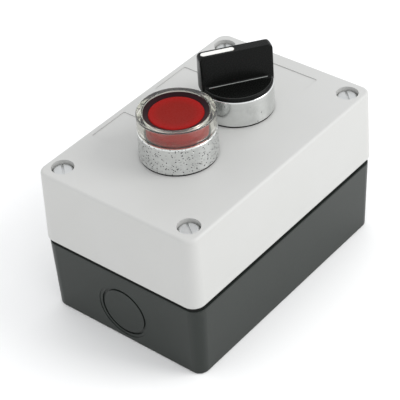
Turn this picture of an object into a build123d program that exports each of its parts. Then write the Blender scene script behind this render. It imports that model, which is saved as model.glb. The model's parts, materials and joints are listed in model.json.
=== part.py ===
from build123d import *
import math
import os

# Two-operator control station: an illuminated push-button and a rotary selector on a two-part box.
# Millimetres. +X runs along the box from the button to the selector, +Y towards the label pockets above
# the operators, +Z out of the cover. The origin is the middle of the base's back face.
# Operators are drawn about the middle of their hole, with z = 0 on the cover's face, and contact blocks
# about the middle of their top face. Both are then moved into place.

# Box
box_length = 110.6
box_width = 72.6
box_height = 63.3
split_height = 33.0
corner_radius = 5.0
cover_draft = 0.7
base_draft = 0.9
end_overhang = 0.75
side_overhang = 0.1
cover_wall = 2.6
panel_thickness = 3.0
cover_edge_radius = 1.2
rim_edge_radius = 0.35
back_edge_radius = 0.6
floor_thickness = 3.0
seam_gap = 2.05
tongue_height = 2.0
tongue_wall = 1.0
tongue_clearance = 0.2
gasket_inset = 1.3
gasket_width = 1.4

# Cover screws and the posts that they run in
screw_x = 47.3
screw_y = 29.0
post_radius = 5.6
post_gap = 0.2
well_radius = 4.25
head_recess = 1.2
head_radius = 3.95
head_height = 2.4
head_dome = 1.0
slot_width = 0.9
slot_depth = 0.7
slot_first_turn = 53.0
slot_turn_step = -4.0
cover_screw_radius = 1.95
cover_screw_hole = 2.2
cover_screw_tip = 22.0
insert_radius = 2.9
insert_bore = 2.0
insert_low = 26.0
insert_high = 34.5
post_bore_low = 18.0

# Fixing holes in the back, cable knock-outs in the short sides, label pockets in the cover
fixing_spacing_x = 84.0
fixing_spacing_y = 40.0
fixing_hole_radius = 2.25
fixing_pad_radius = 5.0
fixing_pad_height = 2.0
knockout_height = 13.4
knockout_radius = 9.9
knockout_groove = 0.9
knockout_depth = 0.8
knockout_pad_radius = 11.6
knockout_pad_depth = 0.2
pocket_depth = 0.3
pocket_long = 18.0
pocket_short = 9.0
pocket_radius = 0.6
pocket_x = 18.0
pocket_edge_y = 33.0
end_pocket_long = 29.2
end_pocket_edge_x = 48.2

# Operator heads, shared by the button and the selector
button_x = -16.8
selector_x = 17.5
hole_radius = 11.25
neck_radius = 11.0
neck_bottom = -8.5
bore_radius = 8.35
barrel_radius = 8.3
gasket_thickness = 0.6
gasket_edge = 0.3
head_body_radius = 12.75
head_body_top = 10.6
chamber_radius = 11.6
button_bezel_radius = 14.6
selector_bezel_radius = 14.1
bezel_bore = 12.8
bezel_edge = 0.4
button_bezel_top = 11.5
selector_bezel_top = 11.2

# Button
button_chamber_floor = 3.0
guard_top = 18.5
guard_radius = 14.4
guard_bore = 12.1
guard_spigot = 12.75
guard_edge = 0.5
flange_radius = 11.3
flange_bottom = 9.6
flange_top = 11.2
tube_bore = 6.4
arm_half_length = 12.6
arm_width = 7.0
arm_top = -8.6
arm_bottom = -12.5
lens_radius = 10.1
lens_wall = 1.2
lens_top = 17.4
lens_foot_height = 1.2
lens_edge = 0.5
lens_dish_depth = 0.4
lens_ring_radius = 11.9
lens_ring_drop = 0.2
lens_ring_rise = 0.9
lens_ring_height = 0.8
diffuser_radius = 8.8
diffuser_wall = 1.2
diffuser_clearance = 0.1
seal_radius = 9.4
seal_low = 1.6
seal_high = 2.6

# Selector
knob_rest_angle = 144.5
throw_angle = 90.0
knob_radius = 14.0
knob_hub_radius = 12.4
knob_hub_bottom = 10.7
knob_disc_bottom = 11.3
knob_disc_top = 12.8
knob_disc_chamfer = 0.7
blade_top = 25.6
blade_top_half = 2.3
blade_foot_half = 3.55
blade_corner = 1.8
pointer_length = 12.6
pointer_width = 2.2
pointer_depth = 0.6
pointer_proud = 0.1
pointer_end_gap = 1.2
washer_floor = 8.4
washer_thickness = 0.6
washer_radius = 11.2
washer_bore = 8.6
shaft_flange_radius = 11.3
tenon_length = 12.0
tenon_width = 3.0
tenon_top = 16.0
socket_clearance = 0.05
cam_radius = 12.6
cam_top = -8.8
cam_mid = -13.0
cam_travel = 2.5
cam_square = 8.0
cam_square_bottom = -11.9
cam_screw_seat = -12.0
cam_screw_head = 3.5
cam_screw_recess = 4.2
cam_screw_head_height = 2.2
cam_screw_radius = 1.55
cam_screw_hole = 1.6
cam_screw_top = -2.0

# Collars that hold the operators from behind
collar_length = 30.0
collar_width = 40.0
collar_corner = 3.0
collar_top = -3.3
collar_bottom = -18.0
collar_bore = 11.03
collar_cavity = 13.2
clamp_screw_x = -10.5
clamp_screw_y = 15.5
clamp_screw_radius = 1.95
clamp_screw_hole = 2.0
clamp_head_radius = 3.3
clamp_head_recess = 3.6
clamp_head_height = 2.4
clamp_recess_depth = 2.8
clamp_tip_gap = 0.02

# Contact and lamp blocks
slot_pitch = 10.0
block_width = 9.6
block_length = 36.0
block_height = 24.0
peg_y = 16.3
peg_radius = 1.2
peg_height = 2.0
peg_clearance = 0.1
cell_half = 3.4
cell_length = 23.2
cell_top = -2.0
cell_bottom = -22.0
cell_wall = 0.8
nose_radius = 2.0
nose_clearance = 0.05
frame_length = 6.0
frame_width = 5.0
frame_top = -2.1
frame_bottom = -12.0
window_half = 2.1
bridge_half_width = 2.0
bridge_half_length = 10.8
bridge_thickness = 0.8
rivet_y = 9.5
rivet_radius = 1.3
rivet_height = 0.5
contact_gap = 0.02
strip_half_width = 2.2
strip_inner_y = 8.0
strip_outer_y = 17.2
strip_thickness = 0.8
nc_strip_low = -4.6
no_strip_low = -11.2
terminal_y = 15.0
terminal_hole = 1.5
terminal_shank = 1.45
terminal_head = 2.4
terminal_head_height = 2.0
terminal_shank_rise = 1.4
clamp_size = 4.6
clamp_thickness = 1.0
clamp_gap = 0.1
nose_contact_gap = 0.15

# Lamp
tower_radius = 5.4
tower_rise = 15.5
lamp_bore = 4.5
lamp_base_radius = 4.4
lamp_base_bottom = -12.0
lamp_base_top = -2.3
lamp_glass_radius = 4.7
lamp_glass_top = 8.0
lamp_strip_low = -6.0

# Springs
return_spring_radius = 9.9
return_spring_wire = 0.5
return_spring_turns = 4.0
contact_spring_radius = 1.9
contact_spring_wire = 0.35
contact_spring_turns = 6.0
bridge_spring_radius = 1.4
bridge_spring_wire = 0.25
bridge_spring_turns = 4.0

through = 1.0


def upright(radius, low, high, x=0.0, y=0.0):
    """A cylinder that stands between two heights."""
    return Pos(x, y, (low + high) / 2) * Cylinder(radius, high - low)


def tube(outer, inner, low, high, x=0.0, y=0.0):
    """A round ring that stands between two heights."""
    return upright(outer, low, high, x, y) - upright(inner, low - through, high + through, x, y)


def block(x_size, y_size, low, high, x=0.0, y=0.0):
    """A rectangular block that stands between two heights."""
    return Pos(x, y, (low + high) / 2) * Box(x_size, y_size, high - low)


def rounded(x_size, y_size, radius, low, high, x=0.0, y=0.0):
    """A block with round upright corners that stands between two heights."""
    return extrude(Pos(x, y, low) * RectangleRounded(x_size, y_size, radius), high - low)


def drafted(x_size, y_size, radius, low, high, inset):
    """A rounded block whose sides lean in by inset from low to high, or out where inset is negative."""
    taper = math.degrees(math.atan2(inset, high - low))
    return extrude(Pos(0, 0, low) * RectangleRounded(x_size, y_size, radius), high - low, taper=taper)


def corners(x, y):
    """The four places that mirror each other in both long and short sides."""
    return [(side_x * x, side_y * y) for side_x in (-1, 1) for side_y in (-1, 1)]


def joined(pieces):
    """One shape made of several separate or fused pieces."""
    total = pieces[0]
    for piece in pieces[1:]:
        total += piece
    return total


def coil(radius, wire, low, high, turns):
    """A helical compression spring whose wire lies between two heights."""
    climb = high - low - 2 * wire
    path = Pos(0, 0, low + wire) * Helix(climb / turns, climb, radius)
    section = Plane(path @ 0, z_dir=path % 0) * Circle(wire)
    return sweep(section, path=path, is_frenet=True)


def slotted_head(radius, low, high, dome, turn, up=1):
    """A round screw head with a domed, slotted face that looks up or down."""
    head = upright(radius, low, high)
    face = head.edges().group_by(Axis.Z)[-1 if up > 0 else 0]
    head = fillet(face, dome)
    slot_middle = high - slot_depth / 2 if up > 0 else low + slot_depth / 2
    slot = Pos(0, 0, slot_middle) * Rot(0, 0, turn) * Box(2 * radius + through, slot_width, slot_depth)
    return head - slot


def base_housing():
    """The dark lower shell: floor, drafted walls, tongue, screw posts, fixing pads and knock-outs."""
    rim_length = box_length - 2 * end_overhang
    rim_width = box_width - 2 * side_overhang
    rim = split_height - seam_gap
    tongue_top = split_height + tongue_height
    back_length = rim_length - 2 * base_draft
    back_width = rim_width - 2 * base_draft
    shell = drafted(back_length, back_width, corner_radius - base_draft, 0, rim, -base_draft)
    shell = fillet(shell.edges().group_by(Axis.Z)[-1], rim_edge_radius)
    shell = fillet(shell.edges().group_by(Axis.Z)[0], back_edge_radius)
    tongue_length = box_length - 2 * (cover_wall + tongue_clearance)
    tongue_width = box_width - 2 * (cover_wall + tongue_clearance)
    tongue_corner = corner_radius - cover_wall
    shell += rounded(tongue_length, tongue_width, tongue_corner, floor_thickness, tongue_top)
    cavity_length = tongue_length - 2 * tongue_wall
    cavity_width = tongue_width - 2 * tongue_wall
    cavity_corner = tongue_corner - tongue_wall
    shell -= rounded(cavity_length, cavity_width, cavity_corner, floor_thickness, tongue_top + through)
    posts = joined(
        [upright(post_radius, floor_thickness / 2, tongue_top, x, y) for x, y in corners(screw_x, screw_y)]
    )
    shell += posts & rounded(tongue_length, tongue_width, tongue_corner, 0, tongue_top)
    for x, y in corners(screw_x, screw_y):
        shell -= upright(insert_bore + through / 4, post_bore_low, tongue_top + through, x, y)
        shell -= upright(insert_radius, insert_low, tongue_top + through, x, y)
    for x, y in corners(fixing_spacing_x / 2, fixing_spacing_y / 2):
        shell += upright(fixing_pad_radius, floor_thickness / 2, floor_thickness + fixing_pad_height, x, y)
        shell -= upright(fixing_hole_radius, -through, 2 * fixing_pad_height + floor_thickness, x, y)
    for side in (-1, 1):
        shell -= knockout_cut(side, rim_length / 2)
    return shell


def knockout_cut(side, rim_x):
    """The groove and shallow pad that are cut into one drafted short side, normal to that side."""
    lean = math.atan2(base_draft, split_height - seam_gap)
    wall_x = rim_x - base_draft * (1 - knockout_height / (split_height - seam_gap))
    place = Pos(side * wall_x, 0, knockout_height) * Rot(0, side * (90 + math.degrees(lean)), 0)
    groove_outer = knockout_radius + knockout_groove / 2
    groove = tube(groove_outer, groove_outer - knockout_groove, -knockout_depth, through)
    pad = upright(knockout_pad_radius, -knockout_pad_depth, through)
    return place * (groove + pad)


def cover_housing():
    """The light upper shell: drafted walls, panel, screw wells and posts, operator holes, label pockets."""
    shell = drafted(box_length, box_width, corner_radius, split_height, box_height, cover_draft)
    shell = fillet(shell.edges().group_by(Axis.Z)[-1], cover_edge_radius)
    shell = fillet(shell.edges().group_by(Axis.Z)[0], rim_edge_radius)
    inner_length = box_length - 2 * cover_wall
    inner_width = box_width - 2 * cover_wall
    ceiling = box_height - panel_thickness
    shell -= rounded(inner_length, inner_width, corner_radius - cover_wall, split_height - through, ceiling)
    post_low = split_height + tongue_height + post_gap
    seat = box_height - head_recess - head_height
    for x, y in corners(screw_x, screw_y):
        post = upright(post_radius, post_low, ceiling + through / 2, x, y)
        shell += post & rounded(
            inner_length + through, inner_width + through, corner_radius - cover_wall, 0, box_height
        )
    for x, y in corners(screw_x, screw_y):
        shell -= upright(cover_screw_hole, split_height, box_height + through, x, y)
        shell -= upright(well_radius, seat, box_height + through, x, y)
    for x in (button_x, selector_x):
        shell -= upright(hole_radius, ceiling - through, box_height + through, x)
    for side in (-1, 1):
        shell -= label_pocket(pocket_long, pocket_short, side * pocket_x, pocket_edge_y - pocket_short / 2)
    shell -= label_pocket(pocket_short, end_pocket_long, end_pocket_edge_x - pocket_short / 2, 0)
    return shell


def label_pocket(x_size, y_size, x, y):
    """The space of a shallow pocket for a stick-on label."""
    return rounded(x_size, y_size, pocket_radius, box_height - pocket_depth, box_height + through, x, y)


def cover_gasket():
    """The rubber strip between the two shells, round the outside of the tongue."""
    length = box_length - 2 * gasket_inset
    width = box_width - 2 * gasket_inset
    outer = rounded(length, width, corner_radius - gasket_inset, split_height - seam_gap, split_height)
    inner_corner = corner_radius - gasket_inset - gasket_width + tongue_clearance
    return outer - rounded(
        length - 2 * gasket_width, width - 2 * gasket_width, inner_corner, 0, box_height
    )


def cover_screws():
    """Four long slotted screws that pull the cover onto the base."""
    top = box_height - head_recess
    seat = top - head_height
    screws = []
    for number, (x, y) in enumerate(corners(screw_x, screw_y)):
        head = slotted_head(head_radius, seat, top, head_dome, slot_first_turn + slot_turn_step * number)
        screws.append(Pos(x, y, 0) * (head + upright(cover_screw_radius, cover_screw_tip, seat)))
    return joined(screws)


def screw_inserts():
    """Four brass inserts in the base posts that the cover screws thread into."""
    places = corners(screw_x, screw_y)
    return joined([tube(insert_radius, insert_bore, insert_low, insert_high, x, y) for x, y in places])


def panel_gasket(radius):
    """The rubber washer between a bezel of that radius and the cover."""
    return tube(radius - gasket_edge, neck_radius, 0, gasket_thickness)


def bezel(radius, top):
    """A chromed ring round an operator head, with a rounded upper edge."""
    ring = upright(radius, gasket_thickness, top)
    ring = fillet(ring.edges().group_by(Axis.Z)[-1], bezel_edge)
    return ring - upright(bezel_bore, 0, top + through)


def head_body(chamber_floor):
    """The black head that carries an operator: cup, neck and bore."""
    body = upright(head_body_radius, gasket_thickness, head_body_top)
    body += upright(neck_radius, neck_bottom, gasket_thickness)
    body -= upright(chamber_radius, chamber_floor, head_body_top + through)
    return body - upright(bore_radius, neck_bottom - through, head_body_top)


def button_body():
    """The button's head, with a groove in its bore for the wiper seal."""
    return head_body(button_chamber_floor) - upright(seal_radius, seal_low, seal_high)


def button_wiper_seal():
    """The rubber ring that wipes the plunger."""
    return tube(seal_radius, bore_radius, seal_low, seal_high)


def guard_ring():
    """The clear guard: a thick ring with rounded rims and a spigot that plugs into the bezel."""
    ring = upright(guard_radius, button_bezel_top, guard_top)
    ring = fillet(ring.edges().group_by(Axis.Z)[-1], guard_edge)
    ring += upright(guard_spigot, head_body_top, button_bezel_top)
    ring -= upright(guard_bore, head_body_top - through, guard_top + through)
    return ring


def button_plunger():
    """The sliding tube under the lens, with a flange for its spring and two arms for the contacts."""
    plunger = upright(flange_radius, flange_bottom, flange_top)
    plunger += upright(barrel_radius, arm_bottom, flange_bottom)
    plunger += block(2 * arm_half_length, arm_width, arm_bottom, arm_top)
    return plunger - upright(tube_bore, arm_bottom - through, flange_top + through)


def button_lens():
    """The red cap: a cup with a dished face, a rounded rim and a foot on the plunger's flange."""
    cup = upright(lens_radius, flange_top, lens_top)
    cup = fillet(cup.edges().group_by(Axis.Z)[-1], lens_edge)
    cup += upright(flange_radius, flange_top, flange_top + lens_foot_height)
    cup -= upright(lens_radius - lens_wall, flange_top - through, lens_top - lens_wall)
    dish_edge = lens_radius - 2 * lens_edge
    dish_radius = (dish_edge**2 + lens_dish_depth**2) / (2 * lens_dish_depth)
    return cup - Pos(0, 0, lens_top - lens_dish_depth + dish_radius) * Sphere(dish_radius)


def lens_ring():
    """The black ring pressed over the lens's edge: a shallow funnel that keeps its light out of the guard."""
    inner_top = lens_top - lens_ring_drop
    outer_top = inner_top + lens_ring_rise
    section = Polygon(
        (lens_radius, inner_top - lens_ring_height),
        (lens_ring_radius, outer_top - lens_ring_height),
        (lens_ring_radius, outer_top),
        (lens_radius, inner_top),
        align=None,
    )
    return revolve(Plane.XZ * section, Axis.Z)


def diffuser():
    """The white cup inside the lens that spreads the lamp's light."""
    top = lens_top - lens_wall - diffuser_clearance
    cup = upright(diffuser_radius, flange_top, top)
    return cup - upright(diffuser_radius - diffuser_wall, flange_top - through, top - diffuser_wall)


def button_return_spring():
    """The spring between the head's floor and the plunger's flange."""
    return coil(
        return_spring_radius, return_spring_wire, button_chamber_floor, flange_bottom, return_spring_turns
    )


def collar():
    """The block that clamps a head's neck behind the cover and carries the contact blocks."""
    body = rounded(collar_length, collar_width, collar_corner, collar_bottom, collar_top)
    body -= upright(collar_bore, collar_bottom - through, 0)
    body -= upright(collar_cavity, collar_bottom - through, neck_bottom)
    for side in (-1, 1):
        body -= upright(clamp_screw_hole, collar_bottom - through, 0, clamp_screw_x, side * clamp_screw_y)
        body -= upright(
            clamp_head_recess,
            collar_bottom - through,
            collar_bottom + clamp_recess_depth,
            clamp_screw_x,
            side * clamp_screw_y,
        )
        for slot_x in (0, slot_pitch):
            body -= upright(
                peg_radius + peg_clearance,
                collar_bottom - through,
                collar_bottom + peg_height + peg_clearance,
                slot_x,
                side * peg_y,
            )
    return body


def clamp_screws():
    """Two screws through the collar that press on the back of the panel."""
    seat = collar_bottom + clamp_recess_depth
    head = slotted_head(clamp_head_radius, seat - clamp_head_height, seat, slot_width, 0, up=-1)
    screw = head + upright(clamp_screw_radius, seat, -panel_thickness - clamp_tip_gap)
    return joined([Pos(clamp_screw_x, side * clamp_screw_y, 0) * screw for side in (-1, 1)])


def block_shell():
    """The outside of a contact or lamp block, with two pegs on top and an open terminal cell at each end."""
    shell = block(block_width, block_length, -block_height, 0)
    cell_inner = cell_length / 2 + cell_wall
    cell_outer = block_length / 2 + through
    for side in (-1, 1):
        shell += upright(peg_radius, -through, peg_height, 0, side * peg_y)
        shell -= block(
            2 * cell_half,
            cell_outer - cell_inner,
            -block_height - through,
            cell_top,
            0,
            side * (cell_inner + cell_outer) / 2,
        )
    return shell


def strip_slots(strip_low):
    """The two slots that the terminal strips pass through."""
    length = strip_outer_y - strip_inner_y
    middle = (strip_outer_y + strip_inner_y) / 2
    return joined(
        [
            block(2 * strip_half_width, length, strip_low, strip_low + strip_thickness, 0, side * middle)
            for side in (-1, 1)
        ]
    )


def contact_housing(strip_low):
    """A contact block's case, hollow round its moving contact."""
    shell = block_shell()
    shell -= block(2 * cell_half, cell_length, cell_bottom, cell_top)
    shell -= upright(nose_radius + nose_clearance, cell_top - through, through)
    return shell - strip_slots(strip_low)


def pusher(rise, window_low, window_high):
    """A contact's plunger: a round nose on a frame with a window for the bridge."""
    rod = upright(nose_radius, frame_top - through, rise - nose_radius)
    rod += Pos(0, 0, rise - nose_radius) * Sphere(nose_radius)
    frame = block(frame_length, frame_width, frame_bottom, frame_top)
    return rod + frame - block(2 * window_half, 2 * frame_width, window_low, window_high)


def bridge(low, rivets_up):
    """The moving contact: a flat bar with a silver rivet near each end."""
    bar = block(2 * bridge_half_width, 2 * bridge_half_length, low, low + bridge_thickness)
    rivet_low = low + bridge_thickness if rivets_up else low - rivet_height
    for side in (-1, 1):
        bar += upright(rivet_radius, rivet_low, rivet_low + rivet_height, 0, side * rivet_y)
    return bar


def fixed_contacts(strip_low, rivets_up):
    """Two terminal strips, each with a rivet inside the case and a screw hole outside it."""
    strips = strip_slots(strip_low)
    rivet_low = strip_low + strip_thickness if rivets_up else strip_low - rivet_height
    for side in (-1, 1):
        strips += upright(rivet_radius, rivet_low, rivet_low + rivet_height, 0, side * rivet_y)
        strips -= upright(terminal_hole, -block_height, 0, 0, side * terminal_y)
    return strips


def wire_clamps(strip_low):
    """Two square washers that hold the wires under the strips."""
    high = strip_low - clamp_gap
    low = high - clamp_thickness
    plates = [block(clamp_size, clamp_size, low, high, 0, side * terminal_y) for side in (-1, 1)]
    holes = [upright(terminal_hole, -block_height, 0, 0, side * terminal_y) for side in (-1, 1)]
    return joined(plates) - joined(holes)


def terminal_screws(strip_low):
    """Two terminal screws, heads towards the back of the box."""
    seat = strip_low - 2 * clamp_gap - clamp_thickness
    head = slotted_head(terminal_head, seat - terminal_head_height, seat, slot_width / 2, 90, up=-1)
    screw = head + upright(terminal_shank, seat, strip_low + strip_thickness + terminal_shank_rise)
    return joined([Pos(0, side * terminal_y, 0) * screw for side in (-1, 1)])


def contact_block(prefix, rise, normally_closed):
    """Every piece of one contact block, by node name."""
    strip_low = nc_strip_low if normally_closed else no_strip_low
    if normally_closed:
        bridge_low = strip_low - 2 * rivet_height - contact_gap - bridge_thickness
        window_high = bridge_low + bridge_thickness
        window_low = window_high - frame_width + through
        spring_low = window_low
        spring_high = bridge_low
    else:
        bridge_low = strip_low + strip_thickness + 2 * rivet_height + contact_gap + cam_travel
        window_low = bridge_low
        window_high = window_low + frame_width - through
        spring_low = bridge_low + bridge_thickness
        spring_high = window_high
    return {
        prefix + "_contact_housing": contact_housing(strip_low),
        prefix + "_contact_pusher": pusher(rise, window_low, window_high),
        prefix + "_contact_bridge": bridge(bridge_low, normally_closed),
        prefix + "_bridge_spring": coil(
            bridge_spring_radius, bridge_spring_wire, spring_low, spring_high, bridge_spring_turns
        ),
        prefix + "_contact_spring": coil(
            contact_spring_radius, contact_spring_wire, cell_bottom, frame_bottom, contact_spring_turns
        ),
        prefix + "_fixed_contacts": fixed_contacts(strip_low, not normally_closed),
        prefix + "_wire_clamps": wire_clamps(strip_low),
        prefix + "_terminal_screws": terminal_screws(strip_low),
    }


def lamp_block():
    """The lamp's case, with a round tower that stands inside the button's plunger."""
    shell = block_shell() + upright(tower_radius, 0, tower_rise)
    shell -= upright(lamp_bore, lamp_base_bottom - collar_bottom, tower_rise + through)
    return shell - strip_slots(lamp_strip_low)


def lamp_terminals():
    """Two terminal strips of the lamp block."""
    strips = strip_slots(lamp_strip_low)
    return strips - joined(
        [upright(terminal_hole, -block_height, 0, 0, side * terminal_y) for side in (-1, 1)]
    )


def lamp():
    """The signal lamp: a metal base and a domed glass."""
    bulb_top = lamp_glass_top - lamp_glass_radius
    bulb = upright(lamp_glass_radius, lamp_base_top, bulb_top)
    bulb += Pos(0, 0, bulb_top) * Sphere(lamp_glass_radius)
    return bulb + upright(lamp_base_radius, lamp_base_bottom, lamp_base_top)


def selector_shaft():
    """The turning shaft: flange, barrel, a flat tenon for the knob and a square one for the cam."""
    flange_low = washer_floor + washer_thickness
    shaft = upright(shaft_flange_radius, flange_low, head_body_top)
    shaft += upright(barrel_radius, cam_top, flange_low)
    shaft += block(tenon_length, tenon_width, head_body_top, tenon_top)
    shaft += block(cam_square, cam_square, cam_square_bottom, cam_top)
    return shaft - upright(cam_screw_hole, cam_square_bottom - through, cam_screw_top)


def selector_cam():
    """A disc with a slanted lower face, steepest where it meets the contact, on the shaft's square end.

    Over a quarter turn about the steepest place, the slanted face drives the contact by cam_travel, in
    nearly equal steps of travel for equal steps of turn.
    """
    rise_per_mm = cam_travel / (2 * math.sin(math.radians(throw_angle / 2)) * slot_pitch)
    slant = math.degrees(math.atan(rise_per_mm))
    disc = upright(cam_radius, 2 * cam_mid, cam_top)
    cutter = -4 * cam_mid
    disc -= Pos(0, 0, cam_mid) * Rot(-slant, 0, 0) * Pos(0, 0, -cutter / 2) * Box(cutter, cutter, cutter)
    disc = Rot(0, 0, throw_angle / 2 - knob_rest_angle) * disc
    disc -= block(cam_square + socket_clearance, cam_square + socket_clearance, cam_screw_seat, 0)
    disc -= upright(cam_screw_hole, 2 * cam_mid, 0)
    return disc - upright(cam_screw_recess, 2 * cam_mid, cam_screw_seat)


def selector_cam_screw():
    """The screw that pulls the cam onto the shaft."""
    head_low = cam_screw_seat - cam_screw_head_height
    head = slotted_head(cam_screw_head, head_low, cam_screw_seat, slot_width, 0, up=-1)
    return head + upright(cam_screw_radius, cam_screw_seat, cam_screw_top - through)


def blade():
    """The knob's grip: a wedge across the disc, thinner at the top, with round ends and top corners."""
    wedge = Polygon(
        (-blade_foot_half, knob_disc_bottom),
        (blade_foot_half, knob_disc_bottom),
        (blade_top_half, blade_top),
        (-blade_top_half, blade_top),
        align=None,
    )
    grip = extrude(Plane.YZ * wedge, knob_radius + through, both=True)
    blade_height = blade_top - knob_disc_bottom
    side_view = Pos(0, blade_top - blade_height / 2) * Rectangle(2 * knob_radius, blade_height)
    side_view = fillet(side_view.vertices().group_by(Axis.Y)[-1], blade_corner)
    grip &= extrude(Plane.XZ * side_view, knob_radius, both=True)
    return grip & upright(knob_radius, knob_disc_bottom, blade_top)


def pointer(proud):
    """The stadium-shaped pointer in the blade's top, which stands proud of it by that much."""
    middle = knob_radius - pointer_end_gap - pointer_length / 2
    outline = Pos(middle, 0, blade_top - pointer_depth) * SlotOverall(pointer_length, pointer_width)
    return extrude(outline, pointer_depth + proud)


def selector_knob():
    """The black knob: hub, bevelled disc and blade, with a socket for the shaft's tenon."""
    disc = upright(knob_radius, knob_disc_bottom, knob_disc_top)
    disc = chamfer(disc.edges().group_by(Axis.Z)[-1], knob_disc_chamfer)
    knob = disc + upright(knob_hub_radius, knob_hub_bottom, knob_disc_bottom) + blade()
    knob -= block(
        tenon_length + socket_clearance,
        tenon_width + socket_clearance,
        knob_hub_bottom - through,
        tenon_top + socket_clearance,
    )
    return knob - pointer(0)


def selector_washer():
    """The friction washer that keeps the shaft where it is put."""
    return tube(washer_radius, washer_bore, washer_floor, washer_floor + washer_thickness)


def enclosure_nodes():
    """The box and what closes it."""
    return {
        "base_housing": base_housing(),
        "cover_housing": cover_housing(),
        "cover_gasket": cover_gasket(),
        "cover_screws": cover_screws(),
        "screw_inserts": screw_inserts(),
    }


def button_nodes():
    """The illuminated button, its collar, its lamp and its contact, drawn about its hole."""
    nodes = {
        "button_gasket": panel_gasket(button_bezel_radius),
        "button_bezel": bezel(button_bezel_radius, button_bezel_top),
        "button_body": button_body(),
        "button_wiper_seal": button_wiper_seal(),
        "guard_ring": guard_ring(),
        "button_plunger": button_plunger(),
        "button_lens": button_lens(),
        "lens_ring": lens_ring(),
        "diffuser": diffuser(),
        "button_return_spring": button_return_spring(),
        "button_collar": collar(),
        "button_clamp_screws": clamp_screws(),
        "lamp": lamp(),
    }
    lamp_parts = {
        "lamp_block": lamp_block(),
        "lamp_terminals": lamp_terminals(),
        "lamp_wire_clamps": wire_clamps(lamp_strip_low),
        "lamp_terminal_screws": terminal_screws(lamp_strip_low),
    }
    nodes.update(moved(lamp_parts, 0, collar_bottom))
    rise = arm_bottom - collar_bottom - contact_gap
    nodes.update(moved(contact_block("stop", rise, True), slot_pitch, collar_bottom))
    return nodes


def selector_nodes():
    """The selector, its collar and its contact, drawn about its hole, with the knob at its rest angle."""
    turning = {
        "selector_knob": selector_knob(),
        "selector_pointer": pointer(pointer_proud),
        "selector_shaft": selector_shaft(),
        "selector_cam": selector_cam(),
        "selector_cam_screw": selector_cam_screw(),
    }
    nodes = {name: Rot(0, 0, knob_rest_angle) * shape for name, shape in turning.items()}
    nodes["selector_gasket"] = panel_gasket(selector_bezel_radius)
    nodes["selector_bezel"] = bezel(selector_bezel_radius, selector_bezel_top)
    nodes["selector_body"] = head_body(washer_floor)
    nodes["selector_washer"] = selector_washer()
    nodes["selector_collar"] = collar()
    nodes["selector_clamp_screws"] = clamp_screws()
    rise = cam_mid + cam_travel / 2 - collar_bottom - nose_contact_gap
    nodes.update(moved(contact_block("run", rise, False), slot_pitch, collar_bottom))
    return nodes


def moved(nodes, x, z):
    """The same nodes, moved along and up."""
    return {name: Pos(x, 0, z) * shape for name, shape in nodes.items()}


os.makedirs("parts", exist_ok=True)
model = enclosure_nodes()
model.update(moved(button_nodes(), button_x, box_height))
model.update(moved(selector_nodes(), selector_x, box_height))
for name, shape in model.items():
    export_step(shape, "parts/" + name + ".step")
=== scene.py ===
import json
import math

import bmesh
import bpy
import numpy as np
from mathutils import Matrix, Vector


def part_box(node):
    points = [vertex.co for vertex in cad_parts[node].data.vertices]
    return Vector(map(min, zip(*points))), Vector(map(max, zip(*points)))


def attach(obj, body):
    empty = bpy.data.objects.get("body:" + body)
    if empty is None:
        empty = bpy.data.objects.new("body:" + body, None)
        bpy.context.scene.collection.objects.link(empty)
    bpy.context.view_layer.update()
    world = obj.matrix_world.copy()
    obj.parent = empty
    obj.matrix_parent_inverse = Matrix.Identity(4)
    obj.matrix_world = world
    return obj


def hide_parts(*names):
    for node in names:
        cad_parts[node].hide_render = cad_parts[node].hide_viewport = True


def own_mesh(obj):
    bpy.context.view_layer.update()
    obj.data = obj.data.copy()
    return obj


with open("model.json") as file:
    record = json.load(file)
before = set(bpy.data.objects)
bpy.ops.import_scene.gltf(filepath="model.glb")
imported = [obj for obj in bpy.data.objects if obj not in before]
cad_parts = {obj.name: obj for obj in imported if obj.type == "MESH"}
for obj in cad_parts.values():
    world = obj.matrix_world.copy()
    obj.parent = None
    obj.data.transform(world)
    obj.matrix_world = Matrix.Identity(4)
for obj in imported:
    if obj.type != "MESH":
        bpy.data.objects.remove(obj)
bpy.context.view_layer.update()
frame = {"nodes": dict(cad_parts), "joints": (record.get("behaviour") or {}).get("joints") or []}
nodes = frame["nodes"]


# The camera. It stands over half a metre away, above the button's end and the near long side, behind a long
# lens that keeps the box's edges almost parallel. It is rolled a few degrees, so the box leans a little.
azimuth, elevation, roll = (math.radians(angle) for angle in (-48.93, 38.68, -4.06))
distance = 0.5867
aim = Vector((-0.0047, 0.0023, 0.0321))
backward = Vector((
    math.sin(azimuth) * math.cos(elevation),
    -math.cos(azimuth) * math.cos(elevation),
    math.sin(elevation),
))
level = Vector((math.cos(azimuth), math.sin(azimuth), 0))
upward = backward.cross(level)
right = level * math.cos(roll) + upward * math.sin(roll)
up = upward * math.cos(roll) - level * math.sin(roll)
camera_data = bpy.data.cameras.new("camera")
camera_data.sensor_width = 36
camera_data.lens = 140
camera = bpy.data.objects.new("camera", camera_data)
turned_to_box = Matrix((right, up, backward)).transposed().to_4x4()
camera.matrix_world = Matrix.Translation(aim + backward * distance) @ turned_to_box
bpy.context.scene.collection.objects.link(camera)
bpy.context.scene.camera = camera


# The studio: a table top in matt white paint under an even white sky, and one soft light, which stands to
# the right over the near long side.
def linear(code):
    """A six-digit sRGB colour as linear red, green, blue and alpha, each channel by the sRGB curve."""
    srgb = np.array([int(code[start:start + 2], 16) / 255 for start in (0, 2, 4)])
    light = np.where(srgb <= 0.04045, srgb / 12.92, ((srgb + 0.055) / 1.055) ** 2.4)
    return (*light.tolist(), 1.0)


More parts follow.
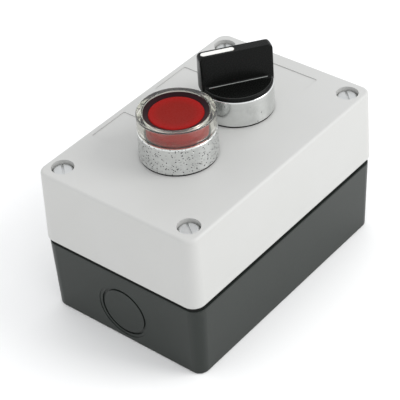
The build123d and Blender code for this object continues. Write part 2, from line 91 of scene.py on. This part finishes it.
def add(tree, kind, inputs, output=0, **settings):
    """Adds a shader node with its settings, fills its inputs and returns one of its outputs.

    Inputs are given by name, or in order. A socket is linked and any other value is set. The inputs and
    outputs that a setting switches off don't count.
    """
    made = tree.nodes.new("ShaderNode" + kind)
    for name, value in settings.items():
        setattr(made, name, value)
    open_inputs = [socket for socket in made.inputs if socket.enabled]
    if isinstance(inputs, dict):
        by_name = {socket.name: socket for socket in open_inputs}
        filled = [(by_name[name], value) for name, value in inputs.items()]
    else:
        filled = list(zip(open_inputs, inputs))
    for socket, value in filled:
        if isinstance(value, bpy.types.NodeSocket):
            tree.links.new(value, socket)
        else:
            socket.default_value = value
    open_outputs = [socket for socket in made.outputs if socket.enabled]
    if isinstance(output, str):
        return made.outputs[output]
    return open_outputs[output] if open_outputs else None


def start_material(name):
    """A new material with an empty node tree, and its object's own coordinates, in metres, for patterns."""
    made = bpy.data.materials.new(name)
    made.use_nodes = True
    made.node_tree.nodes.clear()
    return made, made.node_tree, add(made.node_tree, "TexCoord", {}, "Object")


def surface(tree, inputs):
    """Closes a material with one Principled surface that has those inputs."""
    add(tree, "OutputMaterial", {"Surface": add(tree, "BsdfPrincipled", inputs)})


def softbox(name, place, size, power):
    """A square area light that faces the box."""
    light = bpy.data.lights.new(name, "AREA")
    light.size = size
    light.energy = power
    made = bpy.data.objects.new(name, light)
    made.location = place
    made.rotation_euler = (aim - Vector(place)).to_track_quat("-Z", "Y").to_euler()
    bpy.context.scene.collection.objects.link(made)


table_half = 3.0
table_gap = 0.0001
table_mesh = bpy.data.meshes.new("table_top")
table_signs = ((-1, -1), (1, -1), (1, 1), (-1, 1))
table_corners = [(x * table_half, y * table_half, -table_gap) for x, y in table_signs]
table_mesh.from_pydata(table_corners, [], [(0, 1, 2, 3)])
table_top = bpy.data.objects.new("table_top", table_mesh)
bpy.context.scene.collection.objects.link(table_top)
white_paint, tree, place = start_material("table_matt_white_paint")
surface(tree, {"Base Color": linear("FAFAF9"), "Roughness": 0.7, "Specular IOR Level": 0.2})
table_mesh.materials.append(white_paint)

sky = bpy.data.worlds.new("studio")
sky.use_nodes = True
sky.node_tree.nodes["Background"].inputs["Color"].default_value = linear("FCFDFF")
sky.node_tree.nodes["Background"].inputs["Strength"].default_value = 1.1
bpy.context.scene.world = sky
bpy.context.scene.view_settings.view_transform = "Standard"
softbox("key_softbox", place=(0.46, -0.78, 0.72), size=0.6, power=5.6)


# The base: the lower shell, injection moulded in dark grey ABS in a spark-eroded tool, which leaves a satin
# skin. It holds the screw posts and the blanked-off cable entry at each end.
def moulded(name, colour, shade, grain, depth, roughness, **more):
    """Moulded plastic: slow drifts between two colours, and a fine grain that lifts the skin and its gloss.

    grain is the size of the skin's grain and depth its height, in metres. The drifts are as wide as the
    flow of plastic from a gate, and the gloss varies evenly about the roughness.
    """
    drift_size = 0.025
    gloss_range = 0.06
    made, tree, place = start_material(name)
    drift = add(tree, "TexNoise", {"Vector": place, "Scale": 1 / drift_size, "Detail": 3.0})
    tint = add(tree, "Mix", {"Factor": drift, "A": linear(colour), "B": linear(shade)}, data_type="RGBA")
    skin = add(tree, "TexNoise", {"Vector": place, "Scale": 1 / grain, "Detail": 2.0})
    gloss = add(tree, "MapRange", {
        "Value": skin,
        "To Min": roughness - gloss_range,
        "To Max": roughness + gloss_range,
    })
    relief = add(tree, "Bump", {"Height": skin, "Strength": 0.6, "Distance": depth})
    surface(tree, {"Base Color": tint, "Roughness": gloss, "Normal": relief, **more})
    return made


def dress(material, *names):
    """Gives CAD nodes a finish."""
    for name in names:
        nodes[name].material_slots[0].material = material


dark_abs = moulded(
    "abs_dark_grey_spark_eroded", "212522", "262B28",
    grain=0.0006, depth=0.00003, roughness=0.36, **{"Specular IOR Level": 0.28},
)
dress(dark_abs, "base_housing")


# The inserts: knurled brass bushes, turned from bar and pressed hot into the posts of the base, which give
# the cover screws a metal thread.
def metal(name, colour, shade, grain, depth, roughness):
    """Worked metal: patches between two colours, and fine tool marks, drawn out four times upwards.

    grain is the spacing of the marks and depth their height, in metres.
    """
    patch_size = 0.004
    stretch = 4
    made, tree, place = start_material(name)
    patches = add(tree, "TexNoise", {"Vector": place, "Scale": 1 / patch_size, "Detail": 4.0})
    tint = add(tree, "Mix", {"Factor": patches, "A": linear(colour), "B": linear(shade)}, data_type="RGBA")
    drawn = add(tree, "Mapping", {"Vector": place, "Scale": (1, 1, 1 / stretch)})
    marks = add(tree, "TexNoise", {"Vector": drawn, "Scale": 1 / grain, "Detail": 3.0})
    gloss = add(tree, "MapRange", {
        "Value": marks,
        "To Min": roughness - 0.08,
        "To Max": roughness + 0.1,
    })
    relief = add(tree, "Bump", {"Height": marks, "Strength": 0.5, "Distance": depth})
    surface(tree, {"Base Color": tint, "Metallic": 1.0, "Roughness": gloss, "Normal": relief})
    return made


brass = metal("brass_turned", "C9A55A", "B58F45", grain=0.0004, depth=0.00001, roughness=0.3)
dress(brass, "screw_inserts")


# The seals: black EPDM rubber, cut or moulded, matt with a faint bloom. One runs round the seam between the
# shells, one lies under each bezel and one wipes the button's plunger.
rubber = moulded(
    "epdm_rubber_black", "121212", "1B1B1A",
    grain=0.0004, depth=0.00003, roughness=0.82, **{"Specular IOR Level": 0.3},
)
dress(rubber, "cover_gasket", "button_gasket", "selector_gasket", "button_wiper_seal")


# The cover: the upper shell, moulded in light grey ABS, a trace warm in tone, with a finer skin than the
# base. It has a well for each screw and shallow pockets for labels.
light_abs = moulded(
    "abs_light_grey_fine_skin", "BEBEBC", "BABAB7",
    grain=0.0005, depth=0.000015, roughness=0.42,
)
dress(light_abs, "cover_housing")


# The cover screws and all the screws and clamps inside: cold-headed steel, zinc plated and passivated,
# which leaves a soft silver with a hint of blue.
zinc_steel = metal("steel_zinc_plated", "D2D3D2", "C0C2C2", grain=0.0005, depth=0.00001, roughness=0.38)
screw_nodes = [name for name in nodes if name.endswith(("_screws", "_cam_screw", "_wire_clamps"))]
dress(zinc_steel, *screw_nodes)


# The button's bezel: a die-cast zinc ring, chromed. The plating follows the casting's pores, so the bright
# side is peppered with small dark pits. It is slipped over the head and sits on its rubber washer.
def rounded_path(corners, radii, closed=True, steps=8):
    """A path of (radius, height) points whose corners are arcs, each tangent to its two sides.

    An arc's middle lies on the corner's bisector, at its radius divided by the sine of half the corner's
    angle. The arc turns from the foot of one side to the foot of the other in equal steps. An open path
    keeps its two end points.
    """
    corners = np.array(corners, float)
    radii = np.array(radii, float)
    if closed:
        turning, before, after = corners, np.roll(corners, 1, axis=0), np.roll(corners, -1, axis=0)
    else:
        turning, before, after = corners[1:-1], corners[:-2], corners[2:]
    to_before = before - turning
    to_after = after - turning
    to_before /= np.linalg.norm(to_before, axis=1, keepdims=True)
    to_after /= np.linalg.norm(to_after, axis=1, keepdims=True)
    half_angle = np.arccos((to_before * to_after).sum(axis=1)) / 2
    bisector = to_before + to_after
    bisector /= np.linalg.norm(bisector, axis=1, keepdims=True)
    middle = turning + bisector * (radii / np.sin(half_angle))[:, None]
    foot = (radii / np.tan(half_angle))[:, None]
    first = turning + to_before * foot - middle
    last = turning + to_after * foot - middle
    sweep = (math.pi - 2 * half_angle)[:, None, None]
    part = np.linspace(0, 1, steps + 1)[None, :, None]
    arcs = np.sin((1 - part) * sweep) * first[:, None] + np.sin(part * sweep) * last[:, None]
    path = (middle[:, None] + arcs / np.sin(sweep)).reshape(-1, 2)
    return path if closed else np.concatenate([corners[:1], path, corners[-1:]])


def skinned(name, rows, closed):
    """A mesh object over a grid of points, rows by columns, whose columns always join up again.

    Each face spans two neighbours along a row and the two above them. Closed joins the last row to the
    first. A row that is all one point becomes a pole. Flat faces keep flat shading beside their edges.
    """
    count, columns = rows.shape[:2]
    number = np.arange(count * columns).reshape(count, columns)
    beside = np.roll(number, -1, axis=1)
    above, beside_above = np.roll(number, -1, axis=0), np.roll(beside, -1, axis=0)
    faces = np.stack([number, beside, beside_above, above], axis=-1)
    if not closed:
        faces = faces[:-1]
    mesh = bpy.data.meshes.new(name)
    mesh.from_pydata(rows.reshape(-1, 3).tolist(), [], faces.reshape(-1, 4).tolist())
    welded = bmesh.new()
    welded.from_mesh(mesh)
    bmesh.ops.remove_doubles(welded, verts=welded.verts, dist=1e-7)
    welded.to_mesh(mesh)
    welded.free()
    mesh.shade_smooth()
    made = bpy.data.objects.new(name, mesh)
    bpy.context.scene.collection.objects.link(made)
    made.modifiers.new("flat_faces", "WEIGHTED_NORMAL").weight = 100
    return made


def turned(name, path, axis, closed=True, columns=160):
    """A path of (radius, height) points carried once round an upright axis, in equal turns."""
    turn = np.linspace(0, 2 * math.pi, columns, endpoint=False)
    radius, height = path[:, 0, None], path[:, 1, None]
    rows = np.stack([
        axis.x + radius * np.cos(turn),
        axis.y + radius * np.sin(turn),
        np.broadcast_to(height, (len(path), columns)),
    ], axis=-1)
    return skinned(name, rows, closed)


def put_on(piece, body, replaced, finish):
    """Hangs a finished piece on its body, in the place of its CAD node, in its finish."""
    piece.data.materials.append(finish)
    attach(piece, body)
    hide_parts(replaced)


def bezel_path(name, taper):
    """The section of a bezel: an upright wall that leans in a little towards its rounded upper edge."""
    low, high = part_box(name)
    outside = (high.x - low.x) / 2
    inside = 0.0128
    corners = [(inside, low.z), (outside, low.z), (outside - taper, high.z), (inside, high.z)]
    corner_radii = [0.0001, 0.0003, 0.0005, 0.0001]
    return rounded_path(corners, corner_radii)


def axis_of(name):
    """The upright axis through the middle of a round CAD node."""
    low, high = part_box(name)
    return (low + high) / 2


def chrome(name, pits):
    """Chrome plate: clouds between two greys, and dark pits in a share of the cells of a pattern.

    The cells are a few times wider than a casting's real pores, so that the pits show.
    """
    cloud_size = 0.0028
    cell_size = 0.00085
    dull, clear = linear("C6C8C6"), linear("EDEEED")
    made, tree, place = start_material(name)
    cloud = add(tree, "TexNoise", {
        "Vector": place,
        "Scale": 1 / cloud_size,
        "Detail": 5.0,
        "Roughness": 0.65,
    })
    bright = add(tree, "Mix", {"Factor": cloud, "A": dull, "B": clear}, data_type="RGBA")
    cells = {"Vector": place, "Scale": 1 / cell_size, "Randomness": 1.0}
    nearness = add(tree, "TexVoronoi", cells, "Distance")
    chance = add(tree, "SeparateColor", (add(tree, "TexVoronoi", cells, "Color"),))
    spot = add(tree, "MapRange", {
        "Value": nearness,
        "From Min": 0.19,
        "From Max": 0.38,
        "To Min": 1.0,
        "To Max": 0.0,
    })
    chosen = add(tree, "Math", (chance, pits), operation="LESS_THAN")
    pit = add(tree, "Math", (spot, chosen), operation="MULTIPLY")
    tint = add(tree, "Mix", {"Factor": pit, "A": bright, "B": linear("4A4B4A")}, data_type="RGBA")
    gloss = add(tree, "MapRange", {"Value": pit, "To Min": 0.16, "To Max": 0.5})
    ripple = add(tree, "Bump", {"Height": cloud, "Strength": 0.5, "Distance": 0.00006})
    sunk = add(tree, "Bump", {
        "Height": pit,
        "Normal": ripple,
        "Strength": 0.8,
        "Distance": 0.00008,
    }, invert=True)
    surface(tree, {"Base Color": tint, "Metallic": 1.0, "Roughness": gloss, "Normal": sunk})
    return made


pitted_chrome = chrome("zinc_casting_chromed_pitted", pits=0.76)
button_bezel_section = bezel_path("button_bezel", taper=0.00015)
button_bezel = turned("button_bezel_chromed", button_bezel_section, axis_of("button_bezel"))
put_on(button_bezel, "enclosure", "button_bezel", pitted_chrome)


# The operators' frames, collars and blocks: black nylon with glass fibre, moulded, matt and a little grey
# where the fibres reach the skin. The collars clamp the heads' necks behind the cover.
black_nylon = moulded(
    "nylon_glass_filled_black", "151515", "1D1D1C",
    grain=0.0004, depth=0.00003, roughness=0.55,
)
dress(
    black_nylon,
    "button_body",
    "button_plunger",
    "button_collar",
    "selector_body",
    "selector_shaft",
    "selector_collar",
    "lamp_block",
)


# The guard: a thick ring, turned and flame polished from clear polycarbonate, which is faintly yellow on
# edge. It plugs into the bezel with a thin joint left open, and keeps a hand from leaning on the button.
guard_low, guard_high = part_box("guard_ring")
guard_outside = (guard_high.x - guard_low.x) / 2
guard_bore = 0.0121
guard_spigot = 0.01275
guard_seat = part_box("button_bezel")[1].z
guard_joint = 0.0002
guard_corners = [
    (guard_bore, guard_low.z),
    (guard_spigot, guard_low.z),
    (guard_spigot, guard_seat + guard_joint),
    (guard_outside, guard_seat + guard_joint),
    (guard_outside, guard_high.z),
    (guard_bore, guard_high.z),
]
guard_radii = [0.0001, 0.0001, 0.00005, 0.0003, 0.0006, 0.0004]
clear_polycarbonate, tree, place = start_material("polycarbonate_clear_polished")
scuffs = add(tree, "TexNoise", {"Vector": place, "Scale": 1 / 0.0015, "Detail": 4.0})
polish = add(tree, "MapRange", {"Value": scuffs, "From Min": 0.4, "To Min": 0.02, "To Max": 0.12})
flow = add(tree, "TexNoise", {"Vector": place, "Scale": 1 / 0.006, "Detail": 1.0})
waviness = add(tree, "Bump", {"Height": flow, "Strength": 0.4, "Distance": 0.00005})
surface(tree, {
    "Base Color": linear("EBEAE0"),
    "Roughness": polish,
    "IOR": 1.58,
    "Transmission Weight": 1.0,
    "Normal": waviness,
})
guard = turned("guard_ring_clear", rounded_path(guard_corners, guard_radii), axis_of("guard_ring"))
put_on(guard, "enclosure", "guard_ring", clear_polycarbonate)


# The lens: a cup moulded in red translucent polycarbonate with a slightly hollow face. Its side is painted a
# bright red glow for the light that enters there, and its face is painted lighter towards the rim. It snaps
# onto the plunger's flange over a white diffuser.
lens_low, lens_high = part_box("button_lens")
lens_foot = (lens_high.x - lens_low.x) / 2
lens_radius = 0.0101
lens_wall = 0.0012
lens_foot_height = 0.0012
lens_dish_edge = 0.0091
lens_dish_depth = 0.0004
lens_corners = [
    (0, lens_high.z - lens_wall),
    (lens_radius - lens_wall, lens_high.z - lens_wall),
    (lens_radius - lens_wall, lens_low.z),
    (lens_foot, lens_low.z),
    (lens_foot, lens_low.z + lens_foot_height),
    (lens_radius, lens_low.z + lens_foot_height),
    (lens_radius, lens_high.z),
    (lens_dish_edge, lens_high.z),
]
lens_radii = [0.0003, 0.0001, 0.0001, 0.0001, 0.0001, 0.0005]
lens_side = rounded_path(lens_corners, lens_radii, closed=False)
dish = np.linspace(lens_dish_edge, 0, 16)
dish_height = lens_high.z - lens_dish_depth * (1 - (dish / lens_dish_edge) ** 2)
dish_path = np.stack([dish, dish_height], axis=1)
red_polycarbonate, tree, place = start_material("polycarbonate_red_translucent")
lens_axis = axis_of("button_lens")
centred = add(tree, "Mapping", {
    "Vector": place,
    "Location": (-lens_axis.x, -lens_axis.y, 0),
    "Scale": (1, 1, 0),
})
outward = add(tree, "VectorMath", (centred,), "Value", operation="LENGTH")
# Painted light: the face grows lighter towards the rim, and everything more than 0.6 mm below the top gets a
# painted glow.
painted_rim_range = {"From Min": 0.0055, "From Max": 0.0098}
rim = add(tree, "MapRange", {"Value": outward, **painted_rim_range}, interpolation_type="SMOOTHSTEP")
face = add(tree, "Mix", {"Factor": rim, "A": linear("7E1E19"), "B": linear("8E1A18")}, data_type="RGBA")
height = add(tree, "SeparateXYZ", (place,), "Z")
painted_side_start = lens_high.z - 0.0006
side = add(tree, "Math", (height, painted_side_start), operation="LESS_THAN")
painted_glow = add(tree, "Mix", {"Factor": side, "A": face, "B": linear("D8403A")}, data_type="RGBA")
grain = add(tree, "TexNoise", {"Vector": place, "Scale": 1 / 0.0007, "Detail": 2.0})
satin = add(tree, "MapRange", {"Value": grain, "To Min": 0.22, "To Max": 0.34})
skin = add(tree, "Bump", {"Height": grain, "Strength": 0.4, "Distance": 0.00002})
surface(tree, {
    "Base Color": painted_glow,
    "Roughness": satin,
    "IOR": 1.58,
    "Specular IOR Level": 0.02,
    "Subsurface Weight": 0.3,
    "Subsurface Radius": (1.0, 0.2, 0.1),
    "Subsurface Scale": 0.002,
    "Normal": skin,
})
lens_path = np.concatenate([lens_side, dish_path[1:]])
button_lens = turned("button_lens_red", lens_path, lens_axis, closed=False)
put_on(button_lens, "button", "button_lens", red_polycarbonate)


# The lens's ring: a shallow funnel moulded in black nylon and pressed over the lens's edge. It keeps the
# light out of the guard. Its dark red tint is painted light, for the red light that the lens throws over it.
ring_nylon_painted_red_light = moulded(
    "nylon_black_painted_red_light", "1C0A0E", "260D12",
    grain=0.0005, depth=0.000015, roughness=0.4, **{"Specular IOR Level": 0.08},
)
dress(ring_nylon_painted_red_light, "lens_ring")


# The white mouldings: acetal, smooth and slightly waxy, for the diffuser under the lens, the contacts'
# pushers and the selector's cam, which slide well on it.
acetal = moulded(
    "acetal_white", "E9E8E3", "E1E0DA", grain=0.0008, depth=0.00001, roughness=0.38, **{
        "Subsurface Weight": 0.15,
        "Subsurface Radius": (1.0, 0.9, 0.8),
        "Subsurface Scale": 0.0015,
    }
)
dress(acetal, "diffuser", "selector_cam", "stop_contact_pusher", "run_contact_pusher")


# The springs and the selector's friction washer: drawn and rolled spring steel, oiled, with fine lines. The
# washer holds the knob where it is put. The return spring and the two contact springs shorten as they work.
spring_steel = metal("spring_steel_drawn", "9FA0A1", "83858A", grain=0.0003, depth=0.00001, roughness=0.28)
dress(spring_steel, "stop_bridge_spring", "run_bridge_spring", "selector_washer")


def wound(node, body, wire, turns):
    """A compression spring: a round wire carried up a helix.

    The middle of the wire turns about the upright axis at a constant radius and climbs evenly from foot to
    top. Its section is a circle in the upright plane through the axis, and each end is closed flat.
    """
    steps_per_turn = 60
    low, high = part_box(node)
    axis = axis_of(node)
    radius = (high.x - low.x) / 2 - wire
    climb = high.z - low.z - 2 * wire
    turn = np.linspace(0, turns * 2 * math.pi, turns * steps_per_turn + 1)
    turn = np.concatenate([turn[:1], turn, turn[-1:]])[:, None]
    thickness = np.full(turn.shape, wire)
    thickness[[0, -1]] = 0
    round_wire = -np.linspace(0, 2 * math.pi, 16, endpoint=False)
    outward = radius + thickness * np.cos(round_wire)
    height = low.z + wire + turn / turn[-1] * climb + thickness * np.sin(round_wire)
    across, along = axis.x + outward * np.cos(turn), axis.y + outward * np.sin(turn)
    rows = np.stack([across, along, height], axis=-1)
    piece = skinned(node + "_wound", rows, closed=False)
    put_on(piece, body, node, spring_steel)
    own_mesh(piece)


wound("button_return_spring", "enclosure", wire=0.0005, turns=4)
wound("stop_contact_spring", "enclosure", wire=0.00035, turns=6)
wound("run_contact_spring", "enclosure", wire=0.00035, turns=6)


# The lamp: a blown glass envelope on a nickel-plated base, plugged into the block behind the button. The
# finish changes from plate to glass at the height where the envelope starts.
lamp_glass, tree, place = start_material("lamp_glass_and_nickel_base")
lamp_base_height = 0.0097
glass_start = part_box("lamp")[0].z + lamp_base_height
height = add(tree, "SeparateXYZ", (place,), "Z")
glass = add(tree, "Math", (height, glass_start), operation="GREATER_THAN")
plate = add(tree, "Math", (height, glass_start), operation="LESS_THAN")
shell = add(tree, "Mix", {"Factor": glass, "A": linear("B9B4A8"), "B": linear("F4F4EE")}, data_type="RGBA")
rings = add(tree, "TexNoise", {"Vector": place, "Scale": 1 / 0.0006, "Detail": 2.0})
wear = add(tree, "MapRange", {"Value": rings, "To Min": 0.03, "To Max": 0.2})
surface(tree, {
    "Base Color": shell,
    "Metallic": plate,
    "Roughness": wear,
    "Transmission Weight": glass,
})
dress(lamp_glass, "lamp")


# The contacts: bridges and terminal strips stamped from brass, and the cases of the two contact blocks, in
# nylon coloured by what they do, red for the stop contact and green for the run contact.
contact_nodes = [name for name in nodes if name.endswith(("_fixed_contacts", "_contact_bridge"))]
dress(brass, "lamp_terminals", *contact_nodes)
red_nylon = moulded("nylon_red", "9A211D", "A82A23", grain=0.0005, depth=0.00002, roughness=0.45)
green_nylon = moulded("nylon_green", "1F6B3A", "277844", grain=0.0005, depth=0.00002, roughness=0.45)
dress(red_nylon, "stop_contact_housing")
dress(green_nylon, "run_contact_housing")


# The selector's bezel: the same chromed casting, a little smaller and from a cleaner batch, so it reflects
# its surroundings almost unbroken.
clean_chrome = chrome("zinc_casting_chromed_clean", pits=0.03)
selector_bezel_section = bezel_path("selector_bezel", taper=0.0001)
selector_bezel = turned("selector_bezel_chromed", selector_bezel_section, axis_of("selector_bezel"))
put_on(selector_bezel, "enclosure", "selector_bezel", clean_chrome)


# The knob: one black nylon moulding with a satin gloss. A bevelled disc covers the bezel, and a wedge
# stands across it as its blade. A thin grey line along the blade's foot and another on the disc's bevel
# are painted highlights.
# Underneath, a hub and a flat socket take the shaft's tenon.
knob_low, knob_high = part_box("selector_knob")
selector_joint = next(joint for joint in frame["joints"] if joint["name"] == "selector_turn")
selector_axis = Vector(selector_joint["pos_m"])
pointer_middle = axis_of("selector_pointer")
knob_turn = math.atan2(pointer_middle.y - selector_axis.y, pointer_middle.x - selector_axis.x)
disc_radius = 0.0138
blade_radius = 0.014
hub_radius = 0.0124
disc_bottom = knob_low.z + 0.0006
disc_top = disc_bottom + 0.0015
disc_bevel = 0.0006
disc_lower_edge = 0.0002
blade_top_half = 0.0023
blade_foot_half = 0.0034
blade_end_corner = 0.0018
blade_edge = 0.0004
socket_half_length = 0.00603
socket_half_width = 0.00153
socket_top = knob_low.z + 0.0053
knob_columns = 320


def strip_in_circle(half_width, radius, sharpness=26):
    """The outline of a strip cut off by a circle, with soft corners, as points evenly along its length.

    In each direction the distance from the middle is the smaller of the circle's radius and the distance to
    the strip's side, blended by a power mean, so that a higher sharpness gives smaller corners.
    """
    fine_steps = 20000
    direction = np.linspace(0, 2 * math.pi, fine_steps, endpoint=False)
    to_side = half_width / np.maximum(np.abs(np.sin(direction)), 1e-9)
    reach = ((to_side / radius) ** -sharpness + 1) ** (-1 / sharpness) * radius
    outline = np.stack([reach * np.cos(direction), reach * np.sin(direction)], axis=1)
    steps = np.linalg.norm(np.roll(outline, -1, axis=0) - outline, axis=1)
    length = np.concatenate([[0], np.cumsum(steps)])
    wanted = np.linspace(0, length[-1], knob_columns, endpoint=False)
    looped = np.concatenate([outline, outline[:1]])
    return np.stack([np.interp(wanted, length, looped[:, column]) for column in (0, 1)], axis=1)


def row(outline, height):
    """An outline laid flat at a height."""
    return np.column_stack([outline, np.full(len(outline), height)])


foot = strip_in_circle(blade_foot_half, blade_radius)
foot_direction = np.arctan2(foot[:, 1], foot[:, 0])
circle = np.stack([np.cos(foot_direction), np.sin(foot_direction)], axis=1)
foot_reach = np.linalg.norm(foot, axis=1)
at_blade_end = foot_reach > disc_radius - disc_bevel


def disc_row(radius, height):
    """A row of the disc: a circle, pushed out to the blade's foot where the blade's ends stand out."""
    reach = np.where(at_blade_end, np.maximum(foot_reach, radius), radius)
    return row(circle * reach[:, None], height)


def blade_row(part):
    """A row of the blade, from its foot at 0 to its top at 1: a strip that thins upwards, in a circle.

    Near the top the circle draws in by the end corner's arc, and the strip by the edge's smaller arc.
    """
    height = disc_top + part * (knob_high.z - disc_top)
    from_top = knob_high.z - height
    end_arc = max(blade_end_corner - from_top, 0)
    drawn_in = blade_end_corner - math.sqrt(blade_end_corner**2 - end_arc**2)
    edge_arc = max(blade_edge - from_top, 0)
    edge_in = blade_edge - math.sqrt(blade_edge**2 - edge_arc**2)
    half = blade_foot_half + part * (blade_top_half - blade_foot_half) - edge_in
    return row(strip_in_circle(half, blade_radius - drawn_in), height)


socket = strip_in_circle(socket_half_width, socket_half_length, sharpness=60)
socket_rows = [row(socket * scale, socket_top) for scale in (0, 1)] + [row(socket, knob_low.z)]
hub_rows = [row(circle * hub_radius, height) for height in (knob_low.z, disc_bottom)]
disc_rows = [
    disc_row(disc_radius - disc_lower_edge, disc_bottom),
    disc_row(disc_radius, disc_bottom + disc_lower_edge),
    disc_row(disc_radius, disc_top - disc_bevel),
    disc_row(disc_radius - disc_bevel, disc_top),
]
straight_share = 0.85
straight_parts = np.linspace(0, straight_share, 12)
curved_parts = 1 - (1 - straight_share) * (1 - np.sin(np.linspace(0, math.pi / 2, 17)[1:]))
blade_rows = [blade_row(part) for part in (*straight_parts, *curved_parts)]
top_rows = [blade_rows[-1] * (scale, scale, 1) for scale in (0.8, 0.4, 0)]
knob_rows = np.array(socket_rows + hub_rows + disc_rows + blade_rows + top_rows)
cosine, sine = math.cos(knob_turn), math.sin(knob_turn)
knob_points = np.stack([
    selector_axis.x + cosine * knob_rows[..., 0] - sine * knob_rows[..., 1],
    selector_axis.y + sine * knob_rows[..., 0] + cosine * knob_rows[..., 1],
    knob_rows[..., 2],
], axis=-1)
knob_black = moulded(
    "nylon_black_satin_gloss", "0C0D0C", "101110",
    grain=0.0005, depth=0.000012, roughness=0.27, **{"Specular IOR Level": 0.1},
)
# Painted highlights: a thin grey line along the blade's foot and a fainter one on the disc's bevel edge.
crease_half = 0.00014
crease_reach = 0.0117
bevel_line_half = 0.0001
bevel_highlight_share = 0.12
just_above = 0.00002
tree = knob_black.node_tree
shader = tree.nodes["Principled BSDF"]
plain_black = shader.inputs["Base Color"].links[0].from_socket
place = tree.nodes["Texture Coordinate"].outputs["Object"]
centred = add(tree, "Mapping", {
    "Vector": place,
    "Location": (-selector_axis.x, -selector_axis.y, 0),
    "Scale": (1, 1, 0),
})
outward = add(tree, "VectorMath", (centred,), "Value", operation="LENGTH")
height = add(tree, "SeparateXYZ", (place,), "Z")
crease = add(tree, "Math", (height, disc_top + crease_half, crease_half), operation="COMPARE")
within_reach = add(tree, "Math", (outward, crease_reach), operation="LESS_THAN")
painted_foot_highlight = add(tree, "Math", (crease, within_reach), operation="MULTIPLY")
bevel_line = add(tree, "Math", (outward, disc_radius - disc_bevel, bevel_line_half), operation="COMPARE")
on_disc = add(tree, "Math", (height, disc_top + just_above), operation="LESS_THAN")
painted_bevel_highlight = add(tree, "Math", (bevel_line, on_disc), operation="MULTIPLY")
lines = add(tree, "Math", (painted_bevel_highlight, bevel_highlight_share, painted_foot_highlight), operation="MULTIPLY_ADD")
black_with_painted_highlights = add(tree, "Mix", {"Factor": lines, "A": plain_black, "B": linear("8E918E")}, data_type="RGBA")
tree.links.new(black_with_painted_highlights, shader.inputs["Base Color"])
knob = skinned("selector_knob_black", knob_points, closed=False)
put_on(knob, "selector", "selector_knob", knob_black)


# The pointer: a strip of white acetal with round ends, pressed into the top of the blade over the end that
# shows the position. It stands a tenth of a millimetre proud.
dress(acetal, "selector_pointer")
